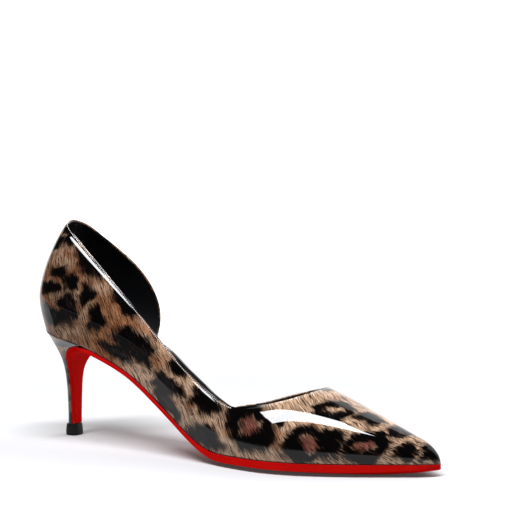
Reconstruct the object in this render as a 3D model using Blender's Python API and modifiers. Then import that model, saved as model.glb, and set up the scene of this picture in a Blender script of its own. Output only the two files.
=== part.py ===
"""Half d'Orsay pump for the right foot: a pointed toe, one side cut open at the waist, a slim covered
heel and a thin leather outsole that runs down the front of the heel.

x runs from the back of the heel cup to the toe, y from the outer side (minus) to the inner side
(plus), and z up from the floor. All sizes below are millimetres and MM turns them into metres.
"""

import math

import bmesh
import bpy
import numpy as np

MM = 0.001

# Driving dimensions
LENGTH = 245.7  # back of the heel cup to the tip of the toe
WALL = 1.6  # upper with its lining
GAP = 0.3  # between pieces that lie against each other
TREAD_HEIGHT = 6.6  # feather edge above the floor at the ball
TOP_PIECE_HEIGHT = 6.7
BAND_HEIGHT = 6.7  # leather band on the open waist, square to the sole
BAND_THICK = 1.3
CUP_CENTRE = 28.0  # where the heel cup ends and the sides begin
CUP_ARC = 41.0  # length of the feather edge from the back seam to CUP_CENTRE
CUP_ROUND = 2.15  # power of the heel cup's outline
NOSE = 12.0  # length of the rounded tip of the toe
NOSE_ROUND = 2.3  # power of the tip's outline
THROAT = 181.0  # top of the vamp on the instep line
QUARTER_END = 146.0  # lowest point of the outer topline
LATERAL, MEDIAL = -1, 1
MIDDLE = (122.9, 0.45, 0.0)  # middle of the shoe's footprint, which becomes the origin


def spline(knots, values):
    """A natural cubic spline through the knots, as a function of an array."""
    x, y = np.asarray(knots, float), np.asarray(values, float)
    count, step = len(x), np.diff(x)
    matrix, right = np.zeros((count, count)), np.zeros(count)
    matrix[0, 0] = matrix[-1, -1] = 1.0
    for i in range(1, count - 1):
        matrix[i, i - 1 : i + 2] = step[i - 1], 2 * (step[i - 1] + step[i]), step[i]
        right[i] = 3 * ((y[i + 1] - y[i]) / step[i] - (y[i] - y[i - 1]) / step[i - 1])
    bend = np.linalg.solve(matrix, right)

    def at(where):
        where = np.asarray(where, float)
        k = np.clip(np.searchsorted(x, where) - 1, 0, count - 2)
        t = where - x[k]
        slope = (y[k + 1] - y[k]) / step[k] - step[k] * (2 * bend[k] + bend[k + 1]) / 3
        return y[k] + t * (slope + t * (bend[k] + t * (bend[k + 1] - bend[k]) / (3 * step[k])))

    return at


def curves(names, rows):
    """A spline for each named column, over the first column."""
    names, data = names.split(), np.array(rows, float).T
    return {name: spline(data[0], values) for name, values in zip(names[1:], data[1:])}


# The last: half widths at the feather edge, height of that edge on the outer side, how much higher
# it is on the inner side, the instep line, which runs on above the open quarters, and how far and
# how high up the sides swell past a plain ellipse
LAST = curves(
    "x lateral medial feather arch ridge ridge_y lateral_swell medial_swell peak",
    (
        (0, 23.6, 23.2, 65.3, 0.0, 136, 0.0, 1.5, 2.5, 26),
        (28, 23.8, 22.6, 59.8, 0.0, 126, 0.0, 1.8, 3.6, 27),
        (45, 23.6, 20.6, 55.2, 0.6, 115.5, 0.0, 2.0, 6.2, 28),
        (60, 23.0, 17.2, 49.6, 2.0, 109, 0.2, 2.0, 8.4, 28),
        (75, 22.6, 14.0, 42.4, 3.1, 104.5, 0.5, 2.0, 7.0, 28),
        (90, 23.4, 11.6, 32.4, 3.6, 99, 1.0, 2.0, 3.0, 27),
        (105, 25.4, 11.2, 21.8, 3.0, 88, 1.6, 2.0, 1.0, 24),
        (120, 28.2, 14.8, 12.2, 1.7, 71, 2.2, 1.8, 1.0, 20),
        (132, 30.8, 20.8, 7.5, 0.5, 60, 2.6, 1.6, 1.2, 16),
        (146, 33.6, 28.6, 6.6, 0.0, 52, 3.0, 1.5, 1.4, 13),
        (160, 35.2, 34.0, 6.6, 0.0, 46.6, 3.0, 1.5, 1.5, 12),
        (172, 34.6, 36.2, 6.6, 0.0, 42.6, 3.0, 1.5, 1.5, 12),
        (186, 31.0, 34.0, 6.6, 0.0, 37.6, 3.0, 1.5, 1.5, 12),
        (204, 23.4, 27.6, 6.6, 0.0, 30.4, 3.0, 1.4, 1.4, 11),
        (220, 15.0, 19.8, 6.6, 0.0, 23.8, 3.0, 1.2, 1.2, 9),
        (234, 7.4, 12.2, 6.6, 0.0, 18.2, 2.7, 0.8, 0.8, 7),
        (246, 1.0, 6.4, 6.6, 0.0, 14.6, 2.7, 0.3, 0.3, 6),
    ),
)

# Back of the heel cup, over the height above the feather edge
CUP_BACK = curves(
    "h x",
    ((0, 5.8), (6, 2.9), (12, 0.8), (17, 0.0), (27, 1.4), (38, 5.0), (48, 9.4), (56, 13.3), (63, 17.0)),
)["x"]

# Topline of the outer quarter and of the counter's inner side, from the heel forwards
TOPLINE = {
    LATERAL: curves(
        "x z",
        (
            (17, 127.0),
            (21.5, 124.0),
            (32.5, 115.2),
            (44.8, 105.0),
            (57, 95.0),
            (69, 85.0),
            (80.7, 75.0),
            (92, 65.0),
            (104, 54.8),
            (116, 45.2),
            (127, 38.0),
            (136, 33.4),
            (146, 31.0),
            (152, 30.8),
        ),
    )["z"],
    MEDIAL: curves("x z", ((17, 127.0), (24.2, 123.6), (30, 119.6), (37, 115.0), (44, 110.2)))["z"],
}
COUNTER_CORNER = 39.0  # where the inner topline turns into the counter's front edge

# Front edge of the counter on the open side, from the topline down to the feather edge
COUNTER_EDGE = curves(
    "t x z",
    (
        (0.0, 39.0, 113.7),
        (0.15, 47.6, 107.2),
        (0.3, 54.6, 100.0),
        (0.45, 59.9, 92.2),
        (0.6, 63.5, 83.8),
        (0.75, 65.6, 74.5),
        (0.88, 66.0, 65.0),
        (1.0, 65.6, 54.0),
    ),
)

# Edge of the vamp: its place along the shoe over the angle up the last's side, 90 at the instep
VAMP_EDGE = {
    LATERAL: curves(
        "angle x",
        ((27, 146.0), (31, 152.5), (36, 159.5), (43, 166.5), (52, 172.5), (63, 177.2), (76, 180.1), (90, 181.0)),
    )["x"],
    MEDIAL: curves(
        "angle x",
        ((0, 116.5), (5, 118.0), (10, 121.5), (18, 131.0), (27, 143.0), (38, 156.5), (52, 169.5), (69, 178.0), (90, 181.0)),
    )["x"],
}

# Heel from the seat down: front and back of each section in side view, half width and roundness
HEEL = curves(
    "row front_x front_z back_x back_z half round",
    (
        (0, 41.5, 55.8, 5.9, 64.0, 23.9, 4.0),
        (1, 35.4, 55.0, 7.0, 61.0, 21.2, 3.5),
        (2, 28.4, 52.8, 8.6, 57.0, 17.2, 3.0),
        (3, 23.3, 48.8, 10.8, 52.4, 13.0, 2.6),
        (4, 20.8, 43.8, 12.7, 46.8, 9.2, 2.4),
        (5, 19.9, 38.0, 13.9, 39.5, 6.4, 2.2),
        (6, 19.8, 29.5, 14.9, 30.0, 4.9, 2.1),
        (7, 19.9, 18.0, 15.4, 18.0, 4.2, 2.1),
        (8, 20.0, 7.0, 15.4, 7.0, 3.8, 2.1),
    ),
)
HEEL_ROWS = 8


def smooth_step(start, end, x):
    """0 before start, 1 after end, and a soft ramp between."""
    t = np.clip((np.asarray(x, float) - start) / (end - start), 0.0, 1.0)
    return t * t * (3 - 2 * t)


def feather(side, x):
    """Height of the edge where the upper meets the sole."""
    raised = LAST["arch"](x) * smooth_step(CUP_CENTRE, CUP_CENTRE + 10, x)
    return LAST["feather"](x) + (raised if side > 0 else 0.0)


def nose_closing(x):
    """1 along the shoe, falling to 0 on a rounded line at the tip of the toe."""
    u = np.clip((np.asarray(x, float) - (LENGTH - NOSE)) / NOSE, 0.0, 1.0)
    return np.sqrt(1.0 - u**NOSE_ROUND)


def outline(side, x):
    """y of the feather edge: the two half widths, drawn in to the middle of the tip."""
    lateral, medial, close = LAST["lateral"](x), LAST["medial"](x), nose_closing(x)
    middle = (medial - lateral) / 2
    return middle + side * (medial + lateral) / 2 * close


def rise(side, x):
    """Height of the instep line above the feather edge."""
    return (LAST["ridge"](x) - feather(side, x)) * nose_closing(x)


def angle_at(side, x, height):
    """The angle up the last's side at a height above the feather edge."""
    return np.arcsin(np.clip(height / np.maximum(rise(side, x), 1e-6), 0.0, 1.0))


def swell(side, x, height):
    """Outward swell of the side, from nothing at the feather edge to its most at the peak height."""
    share = height / LAST["peak"](x)
    return LAST["lateral_swell" if side < 0 else "medial_swell"](x) * (share * np.exp(1 - share)) ** 2


def last_point(side, x, angle):
    """A point of the last: a swelled quarter ellipse from the feather edge up to the instep line."""
    close = nose_closing(x)
    middle = (LAST["medial"](x) - LAST["lateral"](x)) / 2
    top = middle + (LAST["ridge_y"](x) - middle) * close
    height = rise(side, x) * np.sin(angle)
    edge = outline(side, x) + side * swell(side, x, height) * close
    y = top + (edge - top) * np.cos(angle)
    return np.stack(np.broadcast_arrays(x, y, feather(side, x) + height), -1)


def wall_point(side, along, height):
    """A point of the quarters: along is the distance on the feather edge from CUP_CENTRE, negative
    round the heel cup, where the side's width closes on a power curve to the back seam."""
    turn = np.clip(-along / CUP_ARC, 0.0, 1.0) * math.pi / 2
    cup_x = CUP_CENTRE - (CUP_CENTRE - CUP_BACK(height)) * np.sin(turn)
    x = np.where(along < 0, cup_x, CUP_CENTRE + along)
    point = last_point(side, x, angle_at(side, x, height))
    point[..., 1] *= np.sqrt(np.maximum(1.0 - np.sin(turn) ** CUP_ROUND, 0.0))
    return point


def topline_height(side, along):
    """Height of the topline above the feather edge, found by repeated substitution."""
    height = np.full(np.shape(along), 40.0)
    for _ in range(60):
        x = wall_point(side, along, height)[..., 0]
        height = 0.5 * height + 0.5 * (TOPLINE[side](x) - feather(side, x))
    return height


def blend_patch(bottom, top, left, right):
    """Fills a four-sided patch of the side's own coordinates from its four border curves."""
    columns, rows = len(bottom), len(left)
    u = np.linspace(0, 1, columns)[:, None, None]
    v = np.linspace(0, 1, rows)[None, :, None]
    across = (1 - v) * bottom[:, None] + v * top[:, None]
    upward = (1 - u) * left[None] + u * right[None]
    corners = (
        (1 - u) * (1 - v) * bottom[0] + u * (1 - v) * bottom[-1] + (1 - u) * v * top[0] + u * v * top[-1]
    )
    return across + upward - corners


def counter_grid(columns, rows):
    """Inner side of the counter, from the back seam to the front edge of the cut."""
    seam_top = topline_height(LATERAL, np.array([-CUP_ARC]))[0]
    share = np.linspace(0, 1, rows)
    t = 1 - share
    x, z = COUNTER_EDGE["x"](t), COUNTER_EDGE["z"](t)
    z[0] = feather(MEDIAL, x[0])
    right = np.stack([x - CUP_CENTRE, z - feather(MEDIAL, x)], -1)
    low = np.linspace(-CUP_ARC, right[0, 0], columns)
    bottom = np.stack([low, np.zeros(columns)], -1)
    high = np.linspace(-CUP_ARC, COUNTER_CORNER - CUP_CENTRE, columns)
    top = np.stack([high, topline_height(MEDIAL, high)], -1)
    left = np.stack([np.full(rows, -CUP_ARC), share * seam_top], -1)
    right[-1], top[0] = top[-1], left[-1]
    patch = blend_patch(bottom, top, left, right)
    return wall_point(MEDIAL, patch[..., 0], patch[..., 1])


def quarter_grid(cup_columns, columns, rows):
    """Outer quarter, from the back seam to the vamp: upright columns under the topline."""
    along = np.concatenate(
        [np.linspace(-CUP_ARC, 0, cup_columns), np.linspace(0, QUARTER_END - CUP_CENTRE, columns)[1:]]
    )
    height = np.linspace(0, 1, rows)[None, :] * topline_height(LATERAL, along)[:, None]
    return wall_point(LATERAL, along[:, None], height)


def vamp_grid(side_rows, lateral_rows, medial_rows, columns, nose_columns):
    """The vamp: lines from its back edge to the tip of the toe, fanned over the instep."""
    end = np.array(QUARTER_END)
    low = angle_at(LATERAL, end, np.linspace(0, 1, side_rows) * topline_height(LATERAL, end - CUP_CENTRE))
    high = np.linspace(low[-1], math.pi / 2, lateral_rows)[1:]
    first = VAMP_EDGE[LATERAL](27 + 63 * (high - low[-1]) / (math.pi / 2 - low[-1]))
    lateral_angle = np.concatenate([low, high])
    lateral_start = np.concatenate([np.full(side_rows, QUARTER_END), first])
    medial_angle = np.linspace(math.pi / 2, 0, medial_rows)[1:]
    medial_start = VAMP_EDGE[MEDIAL](np.degrees(medial_angle))
    straight = np.linspace(0, 1, columns)
    bend = np.sin(np.linspace(0, math.pi / 2, nose_columns)[1:])
    nose_start = LENGTH - NOSE
    grids = []
    for side, angles, starts in (
        (LATERAL, lateral_angle, lateral_start),
        (MEDIAL, medial_angle, medial_start),
    ):
        x = starts[:, None] + (nose_start - starts[:, None]) * straight
        x = np.concatenate([x, np.broadcast_to(nose_start + NOSE * bend, (len(angles), nose_columns - 1))], 1)
        grids.append(last_point(side, x, angles[:, None]))
    return np.concatenate(grids, 0)


def grid_faces(shape, offset=0, flip=False):
    """Quads of a grid of points, as rows of four vertex numbers."""
    number = offset + np.arange(shape[0] * shape[1]).reshape(shape)
    quads = np.stack([number[:-1, :-1], number[1:, :-1], number[1:, 1:], number[:-1, 1:]], -1).reshape(-1, 4)
    return quads[:, ::-1] if flip else quads


def make_mesh(name, points, faces, collection, material):
    """A mesh object from points in millimetres, with repeated points welded."""
    mesh = bpy.data.meshes.new(name)
    mesh.from_pydata(((np.asarray(points) - MIDDLE) * MM).tolist(), [], [list(map(int, f)) for f in faces])
    welded = bmesh.new()
    welded.from_mesh(mesh)
    bmesh.ops.remove_doubles(welded, verts=welded.verts, dist=0.00002)
    bmesh.ops.dissolve_degenerate(welded, edges=welded.edges, dist=0.00001)
    welded.to_mesh(mesh)
    welded.free()
    mesh.materials.append(material)
    mesh.shade_smooth()
    mesh.set_sharp_from_angle(angle=math.radians(40))
    thing = bpy.data.objects.new(name, mesh)
    collection.objects.link(thing)
    return thing


def face_outwards(thing):
    """Turns the faces of a closed mesh outwards."""
    shell = bmesh.new()
    shell.from_mesh(thing.data)
    bmesh.ops.recalc_face_normals(shell, faces=shell.faces)
    shell.to_mesh(thing.data)
    shell.free()


def make_material(name, colour, roughness, metallic=0.0):
    """A plain Principled material."""
    material = bpy.data.materials.new(name)
    material.use_nodes = True
    shader = material.node_tree.nodes["Principled BSDF"]
    shader.inputs["Base Color"].default_value = (*colour, 1.0)
    shader.inputs["Roughness"].default_value = roughness
    shader.inputs["Metallic"].default_value = metallic
    return material


def make_upper(collection, material):
    """Counter, quarter and vamp as one wall, open at the topline, at the inner waist and below."""
    parts = (
        (counter_grid(14, 9), True),
        (quarter_grid(10, 22, 9), False),
        (vamp_grid(9, 11, 17, 17, 6), True),
    )
    points, faces, offset = [], [], 0
    for grid, flip in parts:
        points.append(grid.reshape(-1, 3))
        faces.extend(grid_faces(grid.shape[:2], offset, flip))
        offset += grid.shape[0] * grid.shape[1]
    upper = make_mesh("upper", np.concatenate(points), faces, collection, material)
    wall = upper.modifiers.new("wall", "SOLIDIFY")
    wall.thickness = WALL * MM
    wall.offset = -1.0
    wall.use_even_offset = True
    wall.use_rim = True
    return upper


def loft(name, rings, collection, material):
    """A closed solid from rings of points. Each end is closed with a ladder across the ring, which
    starts and ends on the outer side."""
    rings = np.asarray(rings)
    count, size = rings.shape[:2]
    ring = np.arange(size)
    faces = []
    for k in range(count - 1):
        a, b = k * size + ring, (k + 1) * size + ring
        faces.extend(np.stack([a, np.roll(a, -1), np.roll(b, -1), b], -1))
    for base in (0, (count - 1) * size):
        for i in range(size // 2 - 1):
            faces.append([base + i, base + i + 1, base + size - 2 - i, base + size - 1 - i])
    thing = make_mesh(name, rings.reshape(-1, 3), faces, collection, material)
    face_outwards(thing)
    return thing


# Outsole: where it lies flat on the floor, its spring at the tip and its thicknesses
TREAD_START, TREAD_END = 140.0, 206.0
TOE_SPRING = 3.4
SHANK_THICK, SHANK_EDGE = 2.9, 2.3
TREAD_EDGE = 3.9
TOE_EDGE = 2.3
SOLE_LIP = 0.5  # how far the sole's edge stands out past the feather edge
FLAP_THICK, FLAP_EDGE = 1.5, 1.0
ACROSS_TOP = np.array([-1, -0.6, -0.2, 0.2, 0.6, 1])
ACROSS_BELOW = np.array([1, 0.93, 0.83, 0.7, 0.56, 0.2, -0.2, -0.56, -0.7, -0.83, -0.93, -1])
FLAT_SHARE = 0.56  # share of the width that is flat underneath


def crown(across):
    """1 on the flat middle of the sole's underside, falling on a round shoulder to 0 at its edge."""
    t = np.clip((np.abs(across) - FLAT_SHARE) / (1 - FLAT_SHARE), 0.0, 1.0)
    return 1 - t**2


def sole_ring(x):
    """Section of the outsole at x: flat above, crowned below, the middle on the floor at the ball."""
    low, high = float(outline(LATERAL, x)) - SOLE_LIP, float(outline(MEDIAL, x)) + SOLE_LIP
    level = [float(feather(side, x)) - GAP for side in (LATERAL, MEDIAL)]

    def top(across):
        return level[0] + (level[1] - level[0]) * (across + 1) / 2

    middle_top = top(0.0)
    into_tread = float(smooth_step(104.0, TREAD_START, x))
    spring = TOE_SPRING * max(0.0, (x - TREAD_END) / (LENGTH - TREAD_END)) ** 2
    floor_thick = middle_top - spring
    middle = SHANK_THICK + (floor_thick - SHANK_THICK) * into_tread
    edge = SHANK_EDGE + (TREAD_EDGE - SHANK_EDGE) * into_tread
    edge += (TOE_EDGE - TREAD_EDGE) * float(smooth_step(TREAD_END, LENGTH, x))
    lean = 1 / math.cos(math.atan(float(LAST["feather"](x + 1) - LAST["feather"](x - 1)) / 2))
    if x < TREAD_START:
        middle, edge = middle * (lean + (1 - lean) * into_tread), edge * (lean + (1 - lean) * into_tread)
    centre, half = (low + high) / 2, (high - low) / 2
    upper_line = [(x, centre + half * a, top(a)) for a in ACROSS_TOP]
    below = [
        (x, centre + half * a, (middle_top - middle) * c + (top(a) - edge) * (1 - c))
        for a, c in zip(ACROSS_BELOW, crown(ACROSS_BELOW))
    ]
    return upper_line + below


def flap_ring(row):
    """Section of the outsole's flap on the heel's front, square to that front."""
    x, z, half = (float(HEEL[key](row)) for key in ("front_x", "front_z", "half"))
    step = 0.02
    dx = float(HEEL["front_x"](row + step) - HEEL["front_x"](row - step))
    dz = float(HEEL["front_z"](row + step) - HEEL["front_z"](row - step))
    size = math.hypot(dx, dz)
    out = (-dz / size, dx / size)
    if row == 0:
        out = (0.35, -0.94)
    inner = [(x + GAP * out[0], half * a, z + GAP * out[1]) for a in ACROSS_TOP]
    outer = []
    for a, c in zip(ACROSS_BELOW, crown(ACROSS_BELOW)):
        thick = GAP + FLAP_EDGE + (FLAP_THICK - FLAP_EDGE) * c
        outer.append((x + thick * out[0], half * a, z + thick * out[1]))
    return inner + outer


def make_outsole(collection, material):
    """Outsole from the tip of the toe along the shank and down the front of the heel."""
    nose = LENGTH - NOSE + NOSE * np.sin(np.linspace(math.pi / 2 * 0.93, 0, 6))
    along = np.concatenate([nose, np.linspace(LENGTH - NOSE, TREAD_END, 5)[1:]])
    along = np.concatenate([along, np.linspace(TREAD_END, TREAD_START, 8)[1:]])
    along = np.concatenate([along, np.linspace(TREAD_START, 48.0, 22)[1:]])
    rings = [sole_ring(float(x)) for x in along]
    rings += [flap_ring(row) for row in (0.6, 1.1, 1.6, 2.1, 2.6, 3.1, 3.6, 4.2, 5, 6, 7, HEEL_ROWS)]
    return loft("outsole", rings, collection, material)


def band_depth(x):
    """How far the waist band's outer face lies inside the last: near it in the open, and one wall
    further in where the counter and the vamp cover its ends."""
    open_part = smooth_step(69.0, 80.0, x) * (1 - smooth_step(103.0, 113.0, x))
    return WALL + GAP + 0.05 - WALL * open_part


def insole_depth(side, x):
    """How far the insole's edge lies inside the last, with room for the waist band."""
    plain = WALL + GAP + 0.1
    if side < 0:
        return plain
    beside_band = smooth_step(48.0, 56.0, x) * (1 - smooth_step(127.0, 135.0, x))
    return plain + (band_depth(x) + BAND_THICK + GAP - plain) * beside_band


def inset_point(side, along, height, depth):
    """A point at a depth below the last's surface, measured square to it."""
    step = 0.05
    ahead = wall_point(side, along + step, height) - wall_point(side, along - step, height)
    upward = wall_point(side, along, height + step) - wall_point(side, along, height)
    out = -side * np.cross(ahead, upward)
    return wall_point(side, along, height) - depth * out / np.linalg.norm(out)


INSOLE_END = 236.0
ACROSS_INSOLE = np.array([1, 0.95, 0.88, 0.78, 0.62, 0.3, -0.3, -0.62, -0.78, -0.88, -0.95, -1])


def insole_ring(along):
    """Section of the insole: flat below, a raised rim round a shallow bed above."""
    edges = []
    for side in (LATERAL, MEDIAL):
        x = CUP_CENTRE + max(along, 0.0)
        edge = inset_point(side, np.array(along), np.array(0.6), insole_depth(side, x))
        edge[2] = feather(side, edge[0])
        edges.append(edge)
    low, high = edges

    def across(a, height):
        point = low + (high - low) * (a + 1) / 2
        return (point[0], point[1], point[2] + height)

    under = [across(a, 0.0) for a in ACROSS_TOP]
    inward = 1 - np.abs(ACROSS_INSOLE)
    full = 1.7 + 1.1 * smooth_step(0.0, 0.12, inward) - 0.7 * smooth_step(0.12, 0.5, inward)
    slim = min(1.0, (high[1] - low[1]) / 16.0)
    return under + [across(a, height * slim) for a, height in zip(ACROSS_INSOLE, full)]


def make_insole(collection, material):
    """Padded insole from the heel cup to the toe."""
    cup = np.linspace(-0.94 * CUP_ARC, 0, 11)
    middle = np.linspace(0, 140 - CUP_CENTRE, 20)[1:]
    fore = np.linspace(140 - CUP_CENTRE, INSOLE_END - CUP_CENTRE, 13)[1:]
    rings = [insole_ring(float(along)) for along in np.concatenate([cup, middle, fore])]
    return loft("insole", rings, collection, material)


def make_waist_band(collection, material):
    """Leather band on the inner waist, from under the counter to under the vamp."""
    rings = []
    for x in np.linspace(58.0, 125.0, 23):
        lean = math.hypot(1, float(feather(MEDIAL, x + 1) - feather(MEDIAL, x - 1)) / 2)
        depth = float(band_depth(x))
        outer, inner = [], []
        for share, soft in ((0, 0), (0.35, 0), (0.7, 0), (0.93, 0.08), (1, 0.4)):
            height = np.array(BAND_HEIGHT * lean * share)
            along = np.array(x - CUP_CENTRE)
            outer.append(inset_point(MEDIAL, along, height, depth + soft))
            inner.append(inset_point(MEDIAL, along, height, depth + BAND_THICK - soft))
        rings.append(outer + inner[::-1])
    return loft("waist_band", rings, collection, material)


def make_heel(collection, material):
    """Covered heel: rings with a flat front and a round back, from the seat to the top piece."""
    turns = np.linspace(0, math.pi, 23)
    rings = []
    for row in np.linspace(0, HEEL_ROWS, 25):
        front_x, front_z, back_x, back_z, half, power = (
            float(HEEL[key](row)) for key in ("front_x", "front_z", "back_x", "back_z", "half", "round")
        )
        depth = np.sin(turns)
        x = front_x - (front_x - back_x) * depth
        seat = 1 - np.clip((CUP_CENTRE - x) / (CUP_CENTRE - back_x), 0, 1) ** CUP_ROUND
        own = smooth_step(0, 3, row)
        width = (1 - own) * np.sqrt(seat) + own * np.sqrt(np.maximum(1 - depth**power, 0))
        y = -np.sign(np.cos(turns)) * half * width
        z = front_z + (back_z - front_z) * depth
        if row == 0:
            z = LAST["feather"](x) - GAP
        rings.append(np.stack([x, y, z], -1))
    rings = [np.vstack([ring, ring[-1:] * 0.5 + ring[:1] * 0.5]) for ring in rings]
    return loft("heel", rings, collection, material)


def make_top_piece(collection, material):
    """Rubber top piece: a short block with a round back and a softened lower edge."""
    middle_x, half_x, half_y, power = 18.9, 4.5, 4.4, 2.8
    turns = np.linspace(0, 2 * math.pi, 28, endpoint=False)
    flat = np.stack([np.cos(turns), np.sin(turns)], -1)
    flat /= (np.abs(flat) ** power).sum(-1, keepdims=True) ** (1 / power)
    rings = []
    for height, shrink in ((0.0, 0.5), (0.25, 0.15), (0.7, 0.0), (4.6, 0.15), (TOP_PIECE_HEIGHT, 0.45)):
        ring = [(middle_x + (half_x - shrink) * c, (half_y - shrink) * s, height) for c, s in flat]
        rings.append(ring)
    return loft("top_piece", rings, collection, material)


def main():
    for thing in list(bpy.data.objects):
        bpy.data.objects.remove(thing)
    collection = bpy.data.collections.new("half d'Orsay pump")
    bpy.context.scene.collection.children.link(collection)
    patent = make_material("printed patent leather", (0.36, 0.22, 0.13), 0.08)
    red = make_material("red sole leather", (0.72, 0.015, 0.01), 0.3)
    black = make_material("black rubber", (0.01, 0.01, 0.01), 0.5)
    satin = make_material("black insole leather", (0.008, 0.008, 0.008), 0.35)
    make_upper(collection, patent)
    make_outsole(collection, red)
    make_heel(collection, patent)
    make_waist_band(collection, patent)
    make_insole(collection, satin)
    make_top_piece(collection, black)


main()
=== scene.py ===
"""Looks of the half d'Orsay pump: fine surfaces of the same last, printed patent leather with folded
and stitched edges, black lining, padded insole, red sole, and a white studio floor.

The shape functions are the part's own, in millimetres, x from the heel to the toe, y to the inner
side and z up. put() turns them into metres about the middle of the footprint.
"""

import math

import bmesh
import bpy
import numpy as np
from mathutils import Matrix


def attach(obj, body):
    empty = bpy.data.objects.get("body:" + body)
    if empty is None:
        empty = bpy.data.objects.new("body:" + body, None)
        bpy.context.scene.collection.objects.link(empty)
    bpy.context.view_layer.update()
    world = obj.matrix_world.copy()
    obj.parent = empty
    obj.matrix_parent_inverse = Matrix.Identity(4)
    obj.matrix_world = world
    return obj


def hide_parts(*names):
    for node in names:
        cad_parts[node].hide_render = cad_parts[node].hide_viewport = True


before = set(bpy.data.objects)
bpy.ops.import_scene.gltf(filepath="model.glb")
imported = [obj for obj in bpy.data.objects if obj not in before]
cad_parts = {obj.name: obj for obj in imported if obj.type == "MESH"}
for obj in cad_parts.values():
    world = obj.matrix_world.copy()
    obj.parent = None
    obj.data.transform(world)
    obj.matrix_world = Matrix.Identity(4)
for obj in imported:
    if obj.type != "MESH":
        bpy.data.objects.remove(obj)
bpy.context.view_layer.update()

MM = 0.001

# Driving dimensions
LENGTH = 245.7  # back of the heel cup to the tip of the toe
WALL = 1.6  # upper with its lining
GAP = 0.3  # between pieces that lie against each other
BAND_HEIGHT = 6.7  # leather band on the open waist, square to the sole
BAND_THICK = 1.3
CUP_CENTRE = 28.0  # where the heel cup ends and the sides begin
CUP_ARC = 41.0  # length of the feather edge from the back seam to CUP_CENTRE
CUP_ROUND = 2.15  # power of the heel cup's outline
NOSE = 12.0  # length of the rounded tip of the toe
NOSE_ROUND = 2.3  # power of the tip's outline
QUARTER_END = 146.0  # lowest point of the outer topline
LATERAL, MEDIAL = -1, 1
MIDDLE = (122.9, 0.45, 0.0)  # middle of the shoe's footprint, which becomes the origin


def spline(knots, values):
    """A natural cubic spline through the knots, as a function of an array."""
    x, y = np.asarray(knots, float), np.asarray(values, float)
    count, step = len(x), np.diff(x)
    matrix, right = np.zeros((count, count)), np.zeros(count)
    matrix[0, 0] = matrix[-1, -1] = 1.0
    for i in range(1, count - 1):
        matrix[i, i - 1 : i + 2] = step[i - 1], 2 * (step[i - 1] + step[i]), step[i]
        right[i] = 3 * ((y[i + 1] - y[i]) / step[i] - (y[i] - y[i - 1]) / step[i - 1])
    bend = np.linalg.solve(matrix, right)

    def at(where):
        where = np.asarray(where, float)
        k = np.clip(np.searchsorted(x, where) - 1, 0, count - 2)
        t = where - x[k]
        slope = (y[k + 1] - y[k]) / step[k] - step[k] * (2 * bend[k] + bend[k + 1]) / 3
        return y[k] + t * (slope + t * (bend[k] + t * (bend[k + 1] - bend[k]) / (3 * step[k])))

    return at


def curves(names, *rows):
    """A spline for each named column, over the first column."""
    names, data = names.split(), np.array(rows, float).T
    return {name: spline(data[0], values) for name, values in zip(names[1:], data[1:])}


def curve(*points):
    """A spline through points of two numbers, the second over the first."""
    return spline(*zip(*points))


def unit(vectors):
    """The vectors at length one."""
    return vectors / np.linalg.norm(vectors, axis=-1, keepdims=True)


def run_length(line):
    """Distance along a line of points, at each of them."""
    return np.concatenate([[0], np.cumsum(np.linalg.norm(np.diff(line, axis=0), axis=1))])


def read_at(where, length, line):
    """Points of a line at some distances along it."""
    return np.stack([np.interp(where, length, column) for column in line.T], -1)


# The last: half widths at the feather edge, height of that edge on the outer side, how much higher
# it is on the inner side, the instep line, which runs on above the open quarters, and how far and
# how high up the sides swell past a plain ellipse
LAST = curves(
    "x lateral medial feather arch ridge ridge_y lateral_swell medial_swell peak",
    (0, 23.6, 23.2, 65.3, 0, 136, 0, 1.5, 2.5, 26),
    (28, 23.8, 22.6, 59.8, 0, 126, 0, 1.8, 3.6, 27),
    (45, 23.6, 20.6, 55.2, 0.6, 115.5, 0, 2, 6.2, 28),
    (60, 23, 17.2, 49.6, 2, 109, 0.2, 2, 8.4, 28),
    (75, 22.6, 14, 42.4, 3.1, 104.5, 0.5, 2, 7, 28),
    (90, 23.4, 11.6, 32.4, 3.6, 99, 1, 2, 3, 27),
    (105, 25.4, 11.2, 21.8, 3, 88, 1.6, 2, 1, 24),
    (120, 28.2, 14.8, 12.2, 1.7, 71, 2.2, 1.8, 1, 20),
    (132, 30.8, 20.8, 7.5, 0.5, 60, 2.6, 1.6, 1.2, 16),
    (146, 33.6, 28.6, 6.6, 0, 52, 3, 1.5, 1.4, 13),
    (160, 35.2, 34, 6.6, 0, 46.6, 3, 1.5, 1.5, 12),
    (172, 34.6, 36.2, 6.6, 0, 42.6, 3, 1.5, 1.5, 12),
    (186, 31, 34, 6.6, 0, 37.6, 3, 1.5, 1.5, 12),
    (204, 23.4, 27.6, 6.6, 0, 30.4, 3, 1.4, 1.4, 11),
    (220, 15, 19.8, 6.6, 0, 23.8, 3, 1.2, 1.2, 9),
    (234, 7.4, 12.2, 6.6, 0, 18.2, 2.7, 0.8, 0.8, 7),
    (246, 1, 6.4, 6.6, 0, 14.6, 2.7, 0.3, 0.3, 6),
)

# Back of the heel cup, over the height above the feather edge
CUP_BACK = curve(
    (0, 5.8), (6, 2.9), (12, 0.8), (17, 0), (27, 1.4), (38, 5), (48, 9.4), (56, 13.3), (63, 17)
)

# Topline of the outer quarter and of the counter's inner side, from the heel forwards
TOPLINE = {
    LATERAL: curve(
        (17, 127), (21.5, 124), (32.5, 115.2), (44.8, 105), (57, 95), (69, 85), (80.7, 75),
        (92, 65), (104, 54.8), (116, 45.2), (127, 38), (136, 33.4), (146, 31), (152, 30.8),
    ),
    MEDIAL: curve((17, 127), (24.2, 123.6), (30, 119.6), (37, 115), (44, 110.2)),
}
COUNTER_CORNER = 39.0  # where the inner topline turns into the counter's front edge

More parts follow.
